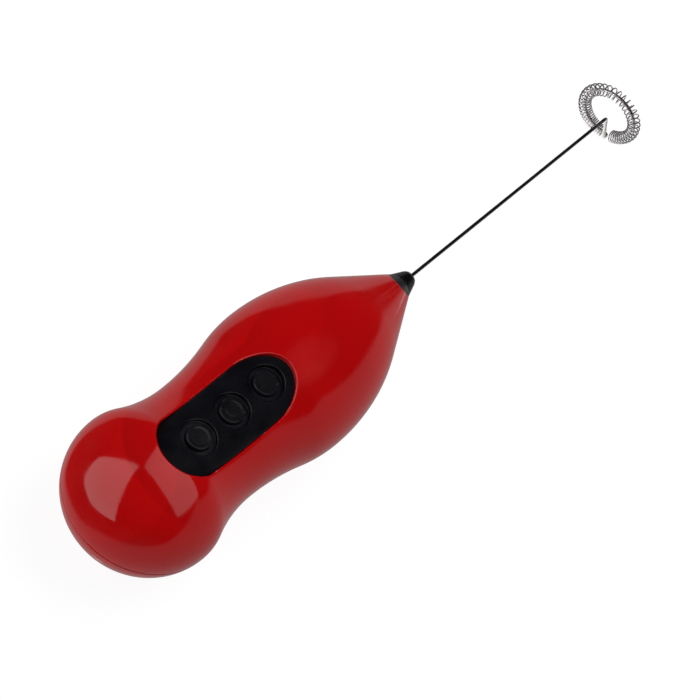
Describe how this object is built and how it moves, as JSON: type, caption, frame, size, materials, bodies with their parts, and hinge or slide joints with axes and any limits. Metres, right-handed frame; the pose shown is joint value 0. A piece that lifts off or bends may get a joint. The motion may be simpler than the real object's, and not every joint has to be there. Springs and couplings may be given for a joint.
{
  "type": "battery milk frother",
  "caption": "Hand-held battery milk frother: rounded two-lobed handle with a button panel, a thin spinning shaft and a coil-wrapped ring whisk.",
  "frame": {"origin": "middle of the base of the bounding box, on the surface that the handle's back lies on", "axes": "+X along the shaft towards the whisk, +Z out of the button panel, +Y to the left seen from behind the bulb"},
  "size_m": [0.2192, 0.0458, 0.0446],
  "materials": {
    "red_shell": "deep red high gloss moulded plastic",
    "panel_black": "satin soft-touch black",
    "button_black": "satin black, a little smoother than the panel",
    "nose_black": "satin black",
    "shaft_steel": "dark drawn steel wire",
    "coil_steel": "bright stainless spring wire",
    "silicone": "translucent white silicone",
    "board_green": "green solder mask",
    "chip_black": "matt black epoxy",
    "screw_steel": "zinc plated",
    "chassis_grey": "fine spark-eroded dark grey",
    "cell_sleeve": "plain blue sleeve",
    "contact_metal": "bright nickel plate",
    "motor_steel": "zinc plated steel can",
    "cap_white": "off-white nylon",
    "magnet_grey": "sintered ferrite",
    "brass": "turned brass",
    "copper": "enamelled copper",
    "core_steel": "stacked laminations",
    "seal_rubber": "black nitrile",
    "lead_red": "red PVC insulation",
    "lead_black": "black PVC insulation"
  },
  "bodies": {
    "handle": {"front_shell": "red_shell", "back_shell": "red_shell", "control_panel": "panel_black", "dome_slow": "silicone", "dome_power": "silicone", "dome_fast": "silicone", "circuit_board": "board_green", "board_components": "chip_black", "board_screws": "screw_steel", "chassis": "chassis_grey", "chassis_screws": "screw_steel", "cell_left": "cell_sleeve", "cell_right": "cell_sleeve", "bridge_contact": "contact_metal", "positive_contact": "contact_metal", "negative_contact": "contact_metal", "rear_spring": "contact_metal", "front_spring": "contact_metal", "motor_can": "motor_steel", "motor_end_cap": "cap_white", "motor_magnets": "magnet_grey", "motor_front_bush": "brass", "motor_rear_bush": "brass", "motor_brushes": "copper", "motor_terminals": "brass", "nose_cone": "nose_black", "nose_bush": "brass", "shaft_seal": "seal_rubber", "shell_screws": "screw_steel", "lead_battery_positive": "lead_red", "lead_battery_negative": "lead_black", "lead_motor_positive": "lead_red", "lead_motor_negative": "lead_black"},
    "door": {"battery_door": "red_shell"},
    "slow_button": {"button_slow": "button_black"},
    "power_button": {"button_power": "button_black"},
    "fast_button": {"button_fast": "button_black"},
    "rotor": {"armature_core": "core_steel", "armature_windings": "copper", "commutator": "copper", "motor_shaft": "screw_steel", "coupling_sleeve": "brass", "whisk_wire": "shaft_steel", "whisk_coil": "coil_steel"}
  },
  "joints": [
    {"name": "whisk_spin", "type": "hinge", "parent": "handle", "child": "rotor", "pos_m": [0.05837, 0, 0.0218], "axis": [1, 0, 0], "continuous": true},
    {"name": "slow_press", "type": "slide", "parent": "handle", "child": "slow_button", "axis": [0, 0, -1], "range_m": [0, 0.001], "stiffness_N_per_m": 1200, "springref_m": -0.0004, "deforming": ["dome_slow"]},
    {"name": "power_press", "type": "slide", "parent": "handle", "child": "power_button", "axis": [0, 0, -1], "range_m": [0, 0.001], "stiffness_N_per_m": 1200, "springref_m": -0.0004, "deforming": ["dome_power"]},
    {"name": "fast_press", "type": "slide", "parent": "handle", "child": "fast_button", "axis": [0, 0, -1], "range_m": [0, 0.001], "stiffness_N_per_m": 1200, "springref_m": -0.0004, "deforming": ["dome_fast"]},
    {"name": "door_slide", "type": "slide", "parent": "handle", "child": "door", "axis": [-1, 0, 0], "range_m": [0, 0.06]}
  ]
}
